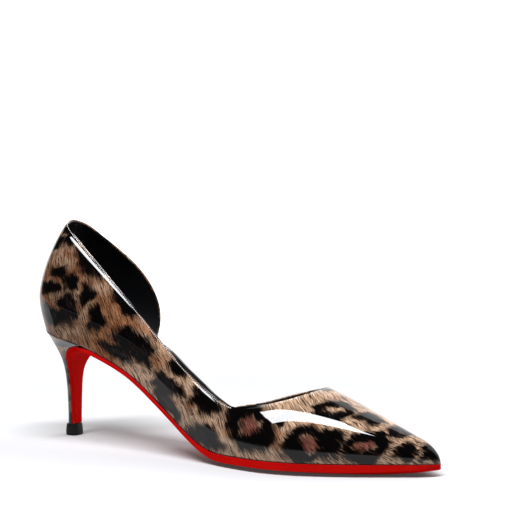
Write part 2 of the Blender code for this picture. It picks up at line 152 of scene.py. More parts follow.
# Front edge of the counter on the open side, from the topline down to the feather edge
COUNTER_EDGE = curves(
    "t x z",
    (0, 39, 113.7),
    (0.15, 47.6, 107.2),
    (0.3, 54.6, 100),
    (0.45, 59.9, 92.2),
    (0.6, 63.5, 83.8),
    (0.75, 65.6, 74.5),
    (0.88, 66, 65),
    (1, 65.6, 54),
)

# Edge of the vamp: its place along the shoe over the angle up the last's side, 90 at the instep
VAMP_EDGE = {
    LATERAL: curve(
        (27, 146), (31, 152.5), (36, 159.5), (43, 166.5),
        (52, 172.5), (63, 177.2), (76, 180.1), (90, 181),
    ),
    MEDIAL: curve(
        (0, 116.5), (5, 118), (10, 121.5), (18, 131), (27, 143),
        (38, 156.5), (52, 169.5), (69, 178), (90, 181),
    ),
}

# Heel from the seat down: front and back of each section in side view, half width and roundness
HEEL = curves(
    "row front_x front_z back_x back_z half round",
    (0, 41.5, 55.8, 5.9, 64, 23.9, 4),
    (1, 35.4, 55, 7, 61, 21.2, 3.5),
    (2, 28.4, 52.8, 8.6, 57, 17.2, 3),
    (3, 23.3, 48.8, 10.8, 52.4, 13, 2.6),
    (4, 20.8, 43.8, 12.7, 46.8, 9.2, 2.4),
    (5, 19.9, 38, 13.9, 39.5, 6.4, 2.2),
    (6, 19.8, 29.5, 14.9, 30, 4.9, 2.1),
    (7, 19.9, 18, 15.4, 18, 4.2, 2.1),
    (8, 20, 7, 15.4, 7, 3.8, 2.1),
)
HEEL_ROWS = 8


def smooth_step(start, end, x):
    """0 before start, 1 after end, and a soft ramp between."""
    t = np.clip((np.asarray(x, float) - start) / (end - start), 0.0, 1.0)
    return t * t * (3 - 2 * t)


def feather(side, x):
    """Height of the edge where the upper meets the sole."""
    raised = LAST["arch"](x) * smooth_step(CUP_CENTRE, CUP_CENTRE + 10, x)
    return LAST["feather"](x) + (raised if side > 0 else 0.0)


def nose_closing(x):
    """1 along the shoe, falling to 0 on a rounded line at the tip of the toe."""
    u = np.clip((np.asarray(x, float) - (LENGTH - NOSE)) / NOSE, 0.0, 1.0)
    return np.sqrt(1.0 - u**NOSE_ROUND)


def outline(side, x):
    """y of the feather edge: the two half widths, drawn in to the middle of the tip."""
    lateral, medial, close = LAST["lateral"](x), LAST["medial"](x), nose_closing(x)
    middle = (medial - lateral) / 2
    return middle + side * (medial + lateral) / 2 * close


def rise(side, x):
    """Height of the instep line above the feather edge."""
    return (LAST["ridge"](x) - feather(side, x)) * nose_closing(x)


def angle_at(side, x, height):
    """The angle up the last's side at a height above the feather edge."""
    return np.arcsin(np.clip(height / np.maximum(rise(side, x), 1e-6), 0.0, 1.0))


def swell(side, x, height):
    """Outward swell of the side, from nothing at the feather edge to its most at the peak height."""
    share = height / LAST["peak"](x)
    return LAST["lateral_swell" if side < 0 else "medial_swell"](x) * (share * np.exp(1 - share)) ** 2


def last_point(side, x, angle):
    """A point of the last: a swelled quarter ellipse from the feather edge up to the instep line."""
    close = nose_closing(x)
    middle = (LAST["medial"](x) - LAST["lateral"](x)) / 2
    top = middle + (LAST["ridge_y"](x) - middle) * close
    height = rise(side, x) * np.sin(angle)
    edge = outline(side, x) + side * swell(side, x, height) * close
    y = top + (edge - top) * np.cos(angle)
    return np.stack(np.broadcast_arrays(x, y, feather(side, x) + height), -1)


def wall_point(side, along, height):
    """A point of the quarters: along is the distance on the feather edge from CUP_CENTRE, negative
    round the heel cup, where the side's width closes on a power curve to the back seam."""
    turn = np.clip(-along / CUP_ARC, 0.0, 1.0) * math.pi / 2
    cup_x = CUP_CENTRE - (CUP_CENTRE - CUP_BACK(height)) * np.sin(turn)
    x = np.where(along < 0, cup_x, CUP_CENTRE + along)
    point = last_point(side, x, angle_at(side, x, height))
    point[..., 1] *= np.sqrt(np.maximum(1.0 - np.sin(turn) ** CUP_ROUND, 0.0))
    return point


TOPLINE_GUESS = 40.0
TOPLINE_ROUNDS = 60


def topline_height(side, along):
    """Height of the topline above the feather edge, found by repeated substitution."""
    height = np.full(np.shape(along), TOPLINE_GUESS)
    for _ in range(TOPLINE_ROUNDS):
        x = wall_point(side, along, height)[..., 0]
        height = 0.5 * height + 0.5 * (TOPLINE[side](x) - feather(side, x))
    return height


# Outsole: where it lies flat on the floor, its spring at the tip and its thicknesses
TREAD_START, TREAD_END = 140.0, 206.0
TREAD_BLEND = 104.0  # where the shank begins to thicken into the tread
SOLE_BACK = 48.0  # where the sole bends down into the flap on the heel
TOE_SPRING = 3.4
SHANK_THICK, SHANK_EDGE = 2.9, 2.3
TREAD_EDGE = 3.9
TOE_EDGE = 2.3
SOLE_LIP = 0.5  # how far the sole's edge stands out past the feather edge
FLAP_THICK, FLAP_EDGE = 1.5, 1.0
ACROSS_TOP = np.linspace(-1, 1, 9)  # places across a section, as shares of its half width
ACROSS_BELOW = np.concatenate([[1], np.linspace(0.985, -0.985, 41), [-1]])
FLAT_SHARE = 0.56  # share of the width that is flat underneath


def crown(across):
    """1 on the flat middle of the sole's underside, falling on a round shoulder to 0 at its edge."""
    t = np.clip((np.abs(across) - FLAT_SHARE) / (1 - FLAT_SHARE), 0.0, 1.0)
    return 1 - t**2


def sole_ring(x):
    """Section of the outsole at x: flat above, crowned below, the middle on the floor at the ball."""
    low, high = float(outline(LATERAL, x)) - SOLE_LIP, float(outline(MEDIAL, x)) + SOLE_LIP
    level = [float(feather(side, x)) - GAP for side in (LATERAL, MEDIAL)]

    def top(across):
        return level[0] + (level[1] - level[0]) * (across + 1) / 2

    middle_top = top(0.0)
    into_tread = float(smooth_step(TREAD_BLEND, TREAD_START, x))
    spring = TOE_SPRING * max(0.0, (x - TREAD_END) / (LENGTH - TREAD_END)) ** 2
    floor_thick = middle_top - spring
    middle = SHANK_THICK + (floor_thick - SHANK_THICK) * into_tread
    edge = SHANK_EDGE + (TREAD_EDGE - SHANK_EDGE) * into_tread
    edge += (TOE_EDGE - TREAD_EDGE) * float(smooth_step(TREAD_END, LENGTH, x))
    lean = 1 / math.cos(math.atan(float(LAST["feather"](x + 1) - LAST["feather"](x - 1)) / 2))
    if x < TREAD_START:
        steeper = lean + (1 - lean) * into_tread
        middle, edge = middle * steeper, edge * steeper
    centre, half = (low + high) / 2, (high - low) / 2
    upper_line = [(x, centre + half * a, top(a)) for a in ACROSS_TOP]
    below = [
        (x, centre + half * a, (middle_top - middle) * c + (top(a) - edge) * (1 - c))
        for a, c in zip(ACROSS_BELOW, crown(ACROSS_BELOW))
    ]
    return upper_line + below


def flap_ring(row):
    """Section of the outsole's flap on the heel's front, square to that front."""
    x, z, half = (float(HEEL[key](row)) for key in ("front_x", "front_z", "half"))
    step = 0.02
    dx = float(HEEL["front_x"](row + step) - HEEL["front_x"](row - step))
    dz = float(HEEL["front_z"](row + step) - HEEL["front_z"](row - step))
    size = math.hypot(dx, dz)
    out = (-dz / size, dx / size)
    inner = [(x + GAP * out[0], half * a, z + GAP * out[1]) for a in ACROSS_TOP]
    outer = []
    for a, c in zip(ACROSS_BELOW, crown(ACROSS_BELOW)):
        thick = GAP + FLAP_EDGE + (FLAP_THICK - FLAP_EDGE) * c
        outer.append((x + thick * out[0], half * a, z + thick * out[1]))
    return inner + outer


# Where the band leaves the counter, goes in under the vamp and takes room from the insole, and slacks
BAND_OUT, BAND_IN = (69.0, 80.0), (103.0, 113.0)
ROOM_START, ROOM_END = (48.0, 56.0), (127.0, 135.0)
BAND_SLACK, INSOLE_SLACK = 0.05, 0.1


def band_depth(x):
    """How far the waist band's outer face lies inside the last: near it in the open, and one wall
    further in where the counter and the vamp cover its ends."""
    open_part = smooth_step(*BAND_OUT, x) * (1 - smooth_step(*BAND_IN, x))
    return WALL + GAP + BAND_SLACK - WALL * open_part


def insole_depth(side, x):
    """How far the insole's edge lies inside the last, with room for the waist band."""
    plain = WALL + GAP + INSOLE_SLACK
    if side < 0:
        return plain
    beside_band = smooth_step(*ROOM_START, x) * (1 - smooth_step(*ROOM_END, x))
    return plain + (band_depth(x) + BAND_THICK + GAP - plain) * beside_band


def outward(side, along, height):
    """Outward direction of the last's surface."""
    step = 0.05
    ahead = wall_point(side, along + step, height) - wall_point(side, along - step, height)
    upward = wall_point(side, along, height + step) - wall_point(side, along, height)
    return -side * np.cross(ahead, upward)


def inset_point(side, along, height, depth):
    """A point at a depth below the last's surface, measured square to it."""
    out = outward(side, along, height)
    return wall_point(side, along, height) - depth * out / np.linalg.norm(out)


INSOLE_END = 236.0
INSOLE_LEVEL = 0.6  # height at which the insole's edge follows the last
INSOLE_EDGE, RIM_RISE, BED_FALL = 1.7, 1.1, 0.7  # thickness at the edge, then up to the rim and down
RIM_AT, BED_AT = 0.12, 0.5  # shares of the half width, from the edge inwards
FULL_WIDTH = 16.0  # the insole thins where it is narrower than this
ACROSS_INSOLE = np.concatenate([[1, 0.985, 0.96], np.linspace(0.93, -0.93, 41), [-0.96, -0.985, -1]])


def insole_ring(along):
    """Section of the insole: flat below, a raised rim round a shallow bed above."""
    edges = []
    for side in (LATERAL, MEDIAL):
        x = CUP_CENTRE + max(along, 0.0)
        edge = inset_point(side, np.array(along), np.array(INSOLE_LEVEL), insole_depth(side, x))
        edge[2] = feather(side, edge[0])
        edges.append(edge)
    low, high = edges

    def across(a, height):
        point = low + (high - low) * (a + 1) / 2
        return (point[0], point[1], point[2] + height)

    under = [across(a, 0.0) for a in ACROSS_TOP]
    inward = 1 - np.abs(ACROSS_INSOLE)
    rim, bed = smooth_step(0.0, RIM_AT, inward), smooth_step(RIM_AT, BED_AT, inward)
    full = INSOLE_EDGE + RIM_RISE * rim - BED_FALL * bed
    slim = min(1.0, (high[1] - low[1]) / FULL_WIDTH)
    return under + [across(a, height * slim) for a, height in zip(ACROSS_INSOLE, full)]


# Shader graphs: a small wrapper turns node sockets into values that add and multiply
class Value:
    """A number in a shader graph, made of a node's output socket."""

    def __init__(self, graph, socket):
        self.graph, self.socket = graph, socket

    def __add__(self, other):
        return self.graph.math("ADD", self, other)

    def __sub__(self, other):
        return self.graph.math("SUBTRACT", self, other)

    def __mul__(self, other):
        return self.graph.math("MULTIPLY", self, other)

    __radd__, __rmul__ = __add__, __mul__


class Graph:
    """A material with one Principled shader and short ways to add nodes to it."""

    def __init__(self, name, colour, specular=0.0, **settings):
        self.material = bpy.data.materials.new(name)
        self.material.use_nodes = True
        self.nodes, self.links = self.material.node_tree.nodes, self.material.node_tree.links
        self.shader = self.nodes["Principled BSDF"]
        self.output("Base Color", (*colour, 1))
        self.output("Specular IOR Level", specular)
        for key, value in settings.items():
            self.output(key.replace("_", " ").title(), value)
        self.material.diffuse_color = (*colour, 1)

    def feed(self, target, value):
        """Links a value to a socket, or sets the socket to a plain number."""
        if isinstance(value, Value):
            self.links.new(value.socket, target)
        else:
            target.default_value = value

    def node(self, kind, output=0, inputs=(), **settings):
        """A new node with its settings and inputs. Returns one of its outputs."""
        made = self.nodes.new("ShaderNode" + kind)
        for key, value in settings.items():
            setattr(made, key, value)
        for key, value in dict(inputs).items():
            self.feed(made.inputs[key], value)
        return Value(self, made.outputs[output])

    def math(self, kind, *values):
        """The values through a math node."""
        return self.node("Math", inputs=dict(enumerate(values)), operation=kind)

    def attribute(self, name, output="Fac"):
        """A baked attribute of the surface."""
        return self.node("Attribute", output, attribute_name=name)

    def noise(self, vector, stretch=None, scale=1.0, detail=2.0, rough=0.5):
        """Noise from 0 to 1 over a vector, which may be stretched by three factors first."""
        if stretch:
            vector = self.node("VectorMath", inputs={0: vector, 1: stretch}, operation="MULTIPLY")
        inputs = {"Vector": vector, "Scale": scale, "Detail": detail, "Roughness": rough}
        return self.node("TexNoise", "Fac", inputs)

    def ramp(self, value, low, high):
        """0 below low, 1 above high, and a soft ramp between."""
        inputs = {"Value": value, "From Min": low, "From Max": high}
        return self.node("MapRange", "Result", inputs, interpolation_type="SMOOTHSTEP")

    def mix(self, share, first, second):
        """A colour between two colours."""
        inputs = {0: share, 6: first if isinstance(first, Value) else (*first, 1)}
        inputs[7] = second if isinstance(second, Value) else (*second, 1)
        return self.node("Mix", 2, inputs, data_type="RGBA")

    def shade(self, colour, factor):
        """A colour times a factor."""
        grey = self.node("CombineColor", inputs={0: factor, 1: factor, 2: factor})
        inputs = {0: 1.0, 6: colour, 7: grey}
        return self.node("Mix", 2, inputs, data_type="RGBA", blend_type="MULTIPLY")

    def output(self, name, value):
        """Feeds one of the shader's inputs."""
        self.feed(self.shader.inputs[name], value)

    def bump(self, height, strength, distance):
        """Feeds the shader's normal from a height."""
        inputs = {"Height": height, "Strength": strength, "Distance": distance}
        self.output("Normal", self.node("Bump", inputs=inputs))


# Colours of the print, linear: the ground's hairs, the ringed marks' centres, the dark marks
BROWN, SAND, RUST = (0.27, 0.12, 0.055), (0.45, 0.295, 0.19), (0.27, 0.10, 0.04)
ROOTS, CORE_ROOTS, CORE_TIPS = (0.012, 0.005, 0.003), (0.025, 0.007, 0.005), (0.19, 0.07, 0.05)
INK, ASH = (0.0012, 0.001, 0.001), (0.06, 0.045, 0.04)


def printed_patent():
    """Glossy leather with a spotted print. The marks come from the surface's own attributes, and hair
    streaks feather their edges and shade the ground."""
    g = Graph("printed patent", (0.2, 0.1, 0.05), roughness=0.3, coat_weight=1.0, coat_roughness=0.02)
    g.output("Coat IOR", 1.36)
    chart, fur = g.attribute("chart", "Vector"), g.attribute("fur", "Vector")
    along = g.node("SeparateXYZ", 0, {0: chart})
    sway = g.noise(chart, (0.11, 0.11, 0.11), detail=1.0) + 0.3 * g.noise(chart, (0.45, 0.45, 0.45))
    shift = g.node("CombineXYZ", inputs={1: sway * 4.0})
    bent = g.node("VectorMath", inputs={0: fur, 1: shift}, operation="ADD")
    strand = g.noise(bent, (0.26, 2.4, 1.0), detail=4.0, rough=0.72)
    lock = g.noise(bent, (0.16, 0.85, 1.0), detail=2.0)
    tuft = g.noise(bent, (0.06, 0.25, 1.0), detail=1.0)
    patch = g.noise(chart, (0.04, 0.05, 0.04), detail=1.5)
    warm = g.noise(chart, (0.06, 0.08, 0.07), detail=1.0)
    hair = g.ramp(0.7 * strand + 0.3 * lock, 0.43, 0.57)
    forward = g.ramp(along, 55.0, 125.0)
    pale = g.ramp(patch + forward * 0.2, 0.4, 0.62)
    tan = g.mix(pale, BROWN, SAND)
    tan = g.mix(g.ramp(warm - forward * 0.08, 0.5, 0.68) * 0.75, tan, RUST)
    tan = g.shade(tan, 0.7 + 0.45 * g.ramp(along, 35.0, 75.0))
    ground = g.mix(hair * 0.95 + tuft * 0.5 - 0.27, ROOTS, tan)
    edge = (strand - 0.5) * 2.2 + (lock - 0.5) * 1.9 + (tuft - 0.5) * 0.4
    core = g.ramp(g.attribute("core") + edge * 0.5, 0.2, 0.8)
    ground = g.mix(core, ground, g.mix(hair, CORE_ROOTS, CORE_TIPS))
    dark = g.ramp(g.attribute("spot") + edge, -0.02, 0.2)
    ash = g.ramp(g.attribute("ash") + edge * 0.8, 0.4, 1.1) * g.ramp(strand, 0.42, 0.62)
    inky = g.mix(ash * 0.7, INK, ASH)
    g.output("Base Color", g.mix(dark, ground, inky))
    g.output("Roughness", 0.3 + 0.14 * hair)
    g.bump(g.noise(chart, (0.55, 0.55, 0.55), detail=2.0), 0.10, 0.0003)
    return g.material


def smooth_leather(name, colour, roughness, coat, grain):
    """Plain leather with a fine grain."""
    g = Graph(name, colour, 0.25, roughness=roughness, coat_weight=coat, coat_roughness=0.12)
    place = g.node("TexCoord", "Object")
    fine = g.noise(place, scale=2600.0)
    broad = g.noise(place, scale=60.0)
    g.output("Roughness", roughness - 0.06 + 0.12 * broad)
    g.bump(fine, grain, 0.0001)
    return g.material


def red_lacquer():
    """Red sole lacquer, glossy at the edges and a little worn into soft streaks."""
    g = Graph("red lacquer", (0.5, 0.006, 0.004), roughness=0.35, coat_weight=0.04, coat_roughness=0.12)
    place = g.node("TexCoord", "Object")
    streak = g.noise(place, (30.0, 220.0, 120.0), detail=3.0)
    g.output("Base Color", g.mix(streak, (0.38, 0.002, 0.0015), (0.47, 0.003, 0.002)))
    g.output("Roughness", 0.18 + 0.14 * streak)
    return g.material


PATENT = printed_patent()
LINING = smooth_leather("black lining", (0.006, 0.006, 0.007), 0.38, 0.35, 0.25)
SATIN = smooth_leather("black insole", (0.012, 0.012, 0.014), 0.42, 0.25, 0.3)
RED = red_lacquer()
RUBBER = smooth_leather("black rubber", (0.003, 0.003, 0.003), 0.5, 0.0, 0.2)
THREAD = Graph("thread", (0.72, 0.68, 0.62), 0.5, roughness=0.5).material


# The print's marks: places along the shoe (p) and up its side (q, unrolled over the instep), half
# sizes, tilt in degrees, and how much ring, warm centre and grey ash each has
SPOTS = (
    # p, q, long, high, tilt, ring, core, ash
    (12, 115, 13, 4.6, 0, 0, 0.3, 0.3),
    (17, 124, 13, 3.6, -10, 0, 0.9, 0.2),
    (27, 118, 6, 5.4, -30, 0, 0.3, 0),
    (24.6, 97, 8, 3.8, -5, 0, 0, 0),
    (43.6, 102, 13, 4.8, -38, 0, 0, 0),
    (34.4, 92, 6, 5.4, -30, 0, 0, 0),
    (20, 87.6, 9.5, 4.2, -4, 0, 0, 0),
    (46, 85, 4.8, 6.4, 10, 0, 0, 0),
    (34, 78, 8.5, 6.5, -40, 0, 0, 0.5),
    (25, 72, 14, 5.5, -10, 0, 0, 0.4),
    (53.6, 71.8, 6.3, 7.2, 10, 0, 0, 0),
    (70, 81.8, 13, 4.8, -41, 0, 0, 0),
    (76, 61, 12.5, 7.2, -14, 0, 0, 0.3),
    (85, 54, 8.5, 7, -25, 0, 0, 0.5),
    (68, 54, 12, 4.5, -18, 0, 0, 0.6),
    (109, 48.4, 7, 3.6, -38, 0, 0, 0),
    (102, 38.5, 12, 5.4, -20, 0, 0, 0.5),
    (102, 29, 11, 5.2, -42, 0.2, 0, 0.8),
    (128, 33, 10.5, 7, -20, 0, 0, 0),
    (129, 14.6, 13, 6.2, -14, 0, 0, 0.5),
    (157, 23.6, 14.5, 11, -12, 1, 1, 0),
    (173, 28, 3.5, 4.5, -30, 0, 0, 0),
    (190, 16.2, 12, 9, 0, 1, 1, 0.1),
    (214, 15.2, 9.5, 8, 0, 1, 0.9, 0.1),
    (194.4, 37.8, 8, 8.2, 0, 1, 0, 0.5),
    (209.6, 35.8, 8, 5.2, -34, 0, 0.3, 0.6),
    (225.6, 27.4, 6.8, 5, -42, 0, 0, 0.6),
    (231, 12.8, 5.6, 5, 0, 0, 0, 0),
    (242, 13.6, 4.8, 7, 0, 0, 0, 0),
)


def scatter(seed, low, high, step, clear=()):
    """More spots over a box of the chart, on a jittered grid that keeps off the clear ones."""
    chance = np.random.default_rng(seed)
    rows = []
    for p in np.arange(low[0], high[0], step):
        for q in np.arange(low[1], high[1], step):
            dp, dq = chance.uniform(-0.32, 0.32, 2) * step
            size, tilt, kind = chance.uniform(0.3, 0.5), chance.uniform(-70, 10), chance.uniform()
            ringed, grey = kind > 0.7, kind < 0.35
            row = (p + dp, q + dq, step * size, step * size * 0.72, tilt, ringed, 0.8 * ringed, 0.7 * grey)
            if all(math.hypot(row[0] - c[0], row[1] - c[1]) > c[2] + step * 0.4 for c in clear):
                rows.append(row)
    return rows


def print_fields(chart, spots):
    """Spot, core and ash fields at the chart's points: 1 in the middle of a mark, 0 at its edge."""
    spot = np.full(len(chart), -1.0)
    core, ash = np.zeros(len(chart)), np.zeros(len(chart))
    p, q = chart[:, 0], chart[:, 1]
    wavy_p = p + 0.9 * np.sin(0.42 * q + 0.13 * p) + 0.5 * np.sin(0.95 * q - 0.4 * p + 1)
    wavy_q = q + 0.8 * np.sin(0.38 * p - 0.21 * q + 2) + 0.5 * np.sin(1.05 * p + 0.3 * q)
    for p, q, half_long, half_high, tilt, ring, warm, grey in spots:
        turn = math.radians(tilt)
        dp, dq = wavy_p - p, wavy_q - q
        along = (dp * math.cos(turn) + dq * math.sin(turn)) / half_long
        up = (dq * math.cos(turn) - dp * math.sin(turn)) / half_high
        away = np.hypot(along, up)
        around = np.arctan2(up, along)
        lobes = 0.10 * np.sin(3 * around + p) + 0.07 * np.sin(5 * around + q)
        solid = 1.0 + lobes - away
        band = 0.42 + 0.12 * np.sin(2 * around + 0.7 * p) - np.abs(away - 0.74 - lobes * 0.5)
        mark = (1 - ring) * solid + ring * band * 1.5
        core = np.maximum(core, warm * np.clip(1.5 - 2.2 * away, 0, 1))
        ash = np.maximum(ash, grey * np.clip(1.35 - 1.2 * away, 0, 1))
        spot = np.maximum(spot, mark)
    return spot, core, ash


FUR_PLACES = (0, 60, 130, 200, 250)
FUR_FALL = (-58, -48, -40, -24, -16)  # slope of the hairs in degrees, at those places along the shoe


def fur_lines(chart):
    """Coordinates along and across the fur, which runs down towards the toe and flattens on the vamp."""
    p = np.linspace(-60, 320, 200)
    slope = np.tan(np.radians(np.interp(p, FUR_PLACES, FUR_FALL)))
    fall = np.concatenate([[0], np.cumsum((slope[1:] + slope[:-1]) / 2 * np.diff(p))])
    lean = 1 / np.hypot(1, np.interp(chart[:, 0], p, slope))
    across = (chart[:, 1] - np.interp(chart[:, 0], p, fall)) * lean
    return np.stack([chart[:, 0] / lean, across, chart[:, 2]], -1)


WELD = 0.00001  # metres between points that become one


def shown(name, data):
    """A new object in the scene."""
    thing = bpy.data.objects.new(name, data)
    bpy.context.scene.collection.objects.link(thing)
    return thing


def put(name, points, faces, materials, chart=None, spots=(), weld=True, sharp=35):
    """A shaded mesh from points in millimetres, with the print's attributes if it has a chart."""
    mesh = bpy.data.meshes.new(name)
    mesh.from_pydata(((points - MIDDLE) * MM).tolist(), [], np.asarray(faces).tolist())
    if chart is not None:
        spot, core, ash = print_fields(chart, spots)
        fields = {"spot": spot, "core": core, "ash": ash, "chart": chart, "fur": fur_lines(chart)}
        for key, values in fields.items():
            kind, part = ("FLOAT", "value") if values.ndim == 1 else ("FLOAT_VECTOR", "vector")
            flat = np.ascontiguousarray(values, dtype=np.float32).ravel()
            mesh.attributes.new(key, kind, "POINT").data.foreach_set(part, flat)
    if weld:
        work = bmesh.new()
        work.from_mesh(mesh)
        bmesh.ops.remove_doubles(work, verts=work.verts, dist=WELD)
        work.to_mesh(mesh)
        work.free()
    for material in materials:
        mesh.materials.append(material)
    mesh.shade_smooth()
    mesh.set_sharp_from_angle(angle=math.radians(sharp))
    thing = shown(name, mesh)
    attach(thing, "root")
    return thing


# The stitched fold: its reach from a cut edge, its rows in the grids, how far it draws the surface in
# over the distance from the edge, and how thick the wall stays there, as a share of WALL
FOLD_WIDTH = 4.5
FOLD_ROWS = 15
THINNED = ((0.0, 0.8, 3.0), (0.5, 0.75, 1.0))
FOLD = curve(
    (0, 0.58), (0.4, 0.5), (0.85, 0.62), (1.1, 0.53), (1.6, 0.3), (2.4, 0.1), (3.4, 0.02), (FOLD_WIDTH, 0)
)


def grid_faces(shape, offset=0, flip=False):
    """Quads of a grid of points, as rows of four vertex numbers."""
    number = offset + np.arange(shape[0] * shape[1]).reshape(shape)
    quads = np.stack([number[:-1, :-1], number[1:, :-1], number[1:, 1:], number[:-1, 1:]], -1).reshape(-1, 4)
    return quads[:, ::-1] if flip else quads


def girth(side, x, angle):
    """Length up the section at x from the feather edge to the angle."""
    t = np.linspace(0, 1, 17)
    x, angle = np.broadcast_arrays(x, angle)
    steps = last_point(side, np.broadcast_to(x[..., None], (*x.shape, len(t))), angle[..., None] * t)
    return np.sqrt((np.diff(steps[..., 1:], axis=-2) ** 2).sum(-1)).sum(-1)


def crowded(count):
    """Shares from 0 to 1 that crowd towards 1, where the folded edge is."""
    return 1 - (1 - np.linspace(0, 1, count)) ** 1.5


def rows_up(top, rows):
    """Heights from the sole to the topline, with the last ones close together for the fold."""
    top = np.asarray(top)[..., None]
    fold = np.minimum(FOLD_WIDTH, top / 2)
    base = np.linspace(0, 1, rows - FOLD_ROWS) * (top - fold)
    return np.concatenate([base, top - fold + fold * np.linspace(0, 1, FOLD_ROWS + 1)[1:]], -1)


def counter_patch(columns, rows):
    """Chart and points of the counter's inner side: lines from the sole to the topline, which turns
    smoothly into the front edge of the cut."""
    high = np.linspace(-CUP_ARC, COUNTER_CORNER - CUP_CENTRE, 60)
    t = np.linspace(0, 1, 60)[1:]
    front = np.stack([COUNTER_EDGE["x"](t) - CUP_CENTRE, COUNTER_EDGE["z"](t)], -1)
    front[:, 1] -= feather(MEDIAL, front[:, 0] + CUP_CENTRE)
    front[-1, 1] = 0
    border = np.concatenate([np.stack([high, topline_height(MEDIAL, high)], -1), front])
    border[0, 1] = topline_height(LATERAL, np.array([-CUP_ARC]))[0]
    length = run_length(border)
    free = read_at(np.linspace(0, length[-1], columns), length, border)
    low = np.stack([np.linspace(-CUP_ARC, free[-1, 0], columns), np.zeros(columns)], -1)
    reach = np.maximum(np.linalg.norm(free - low, axis=1), 0.1)
    share = rows_up(reach, rows) / reach[:, None]
    patch = low[:, None] + (free - low)[:, None] * share[..., None]
    points = wall_point(MEDIAL, patch[..., 0], patch[..., 1])
    chart = np.stack([patch[..., 0] + CUP_CENTRE, points[..., 2] + 400, points[..., 1] * 0], -1)
    return points, chart


def quarter_patch(cup_columns, columns, rows):
    """Chart and points of the outer quarter."""
    ahead = np.linspace(0, QUARTER_END - CUP_CENTRE, columns)[1:]
    along = np.concatenate([np.linspace(-CUP_ARC, 0, cup_columns), ahead])
    height = rows_up(topline_height(LATERAL, along), rows)
    points = wall_point(LATERAL, along[:, None], height)
    x = points[..., 0]
    q = feather(LATERAL, x) + girth(LATERAL, x, angle_at(LATERAL, x, height))
    p = np.where(along[:, None] < 0, CUP_CENTRE + along[:, None], x)
    return points, np.stack([p, q, q * 0], -1)


VAMP_FOOT = 27  # angle up the last at which the vamp's outer edge leaves the quarter


def vamp_patch(side_rows, lateral_rows, medial_rows, columns, nose_columns):
    """Chart and points of the vamp, fanned over the instep from the outer side to the inner."""
    end = np.array(QUARTER_END)
    low = angle_at(LATERAL, end, rows_up(topline_height(LATERAL, end - CUP_CENTRE), side_rows))
    high = np.linspace(low[-1], math.pi / 2, lateral_rows)[1:]
    share = (high - low[-1]) / (math.pi / 2 - low[-1])
    first = VAMP_EDGE[LATERAL](VAMP_FOOT + (90 - VAMP_FOOT) * share)
    medial_angle = np.linspace(math.pi / 2, 0, medial_rows)[1:]
    straight = 1 - crowded(columns)[::-1]
    bend = np.sin(np.linspace(0, math.pi / 2, nose_columns)[1:])
    start = LENGTH - NOSE
    points, charts = [], []
    lateral_starts = np.concatenate([np.full(side_rows, QUARTER_END), first])
    for side, angles, starts in (
        (LATERAL, np.concatenate([low, high]), lateral_starts),
        (MEDIAL, medial_angle, VAMP_EDGE[MEDIAL](np.degrees(medial_angle))),
    ):
        x = starts[:, None] + (start - starts[:, None]) * straight
        tip = np.broadcast_to(start + NOSE * bend, (len(angles), nose_columns - 1))
        x = np.concatenate([x, tip], 1)
        angle = np.broadcast_to(angles[:, None], x.shape)
        points.append(last_point(side, x, angle))
        up = girth(side, x, angle)
        if side == MEDIAL:
            top = x * 0 + math.pi / 2
            up = girth(LATERAL, x, top) + girth(MEDIAL, x, top) - up
        q = feather(LATERAL, x) + up
        charts.append(np.stack([x, q, q * 0], -1))
    return np.concatenate(points, 0), np.concatenate(charts, 0)


def joined(*patches):
    """Points, faces and chart of several patches put together."""
    points, faces, charts, offset = [], [], [], 0
    for (grid, chart), flip in patches:
        points.append(grid.reshape(-1, 3))
        charts.append(chart.reshape(-1, 3))
        faces.append(grid_faces(grid.shape[:2], offset, flip))
        offset += grid.shape[0] * grid.shape[1]
    return np.concatenate(points), np.concatenate(faces), np.concatenate(charts)


EDGE_STEP = 0.15  # spacing of the points that stand for a cut edge
CHUNK = 500  # points measured at a time


def fold_in(thing, edges):
    """Draws the leather in along its cut edges, where it is folded over and stitched."""
    dense = []
    for edge in edges:
        length = run_length(edge)
        dense.append(read_at(np.arange(0, length[-1], EDGE_STEP), length, edge))
    dense = np.concatenate([*dense, *(edge[-1:] for edge in edges)])
    count = len(thing.data.vertices)
    place, normal = np.empty(count * 3), np.empty(count * 3)
    thing.data.vertices.foreach_get("co", place)
    thing.data.vertex_normals.foreach_get("vector", normal)
    place, normal = place.reshape(-1, 3), normal.reshape(-1, 3)
    points = place / MM + MIDDLE
    distance = np.full(count, FOLD_WIDTH)
    for k in range(0, count, CHUNK):
        gap = np.linalg.norm(points[k : k + CHUNK, None] - dense[None], axis=-1).min(1)
        distance[k : k + CHUNK] = np.minimum(gap, FOLD_WIDTH)
    place -= normal * (FOLD(distance) * MM)[:, None]
    thing.data.vertices.foreach_set("co", place.ravel())
    group = thing.vertex_groups.new(name="wall")
    thickness = np.interp(distance, *THINNED)
    for k in range(count):
        group.add([k], thickness[k], "REPLACE")


SOFT_EDGE, BAND_EDGE, FOLD_EDGE = 0.0003, 0.0002, 0.0006  # widths of rounded edges, in metres


def edged(thing, width, segments=2, angle=40):
    """Rounds the edges of a thing that turn by more than the angle."""
    bevel = thing.modifiers.new("soft edge", "BEVEL")
    bevel.width, bevel.segments = width, segments
    bevel.limit_method, bevel.angle_limit = "ANGLE", math.radians(angle)
    return thing


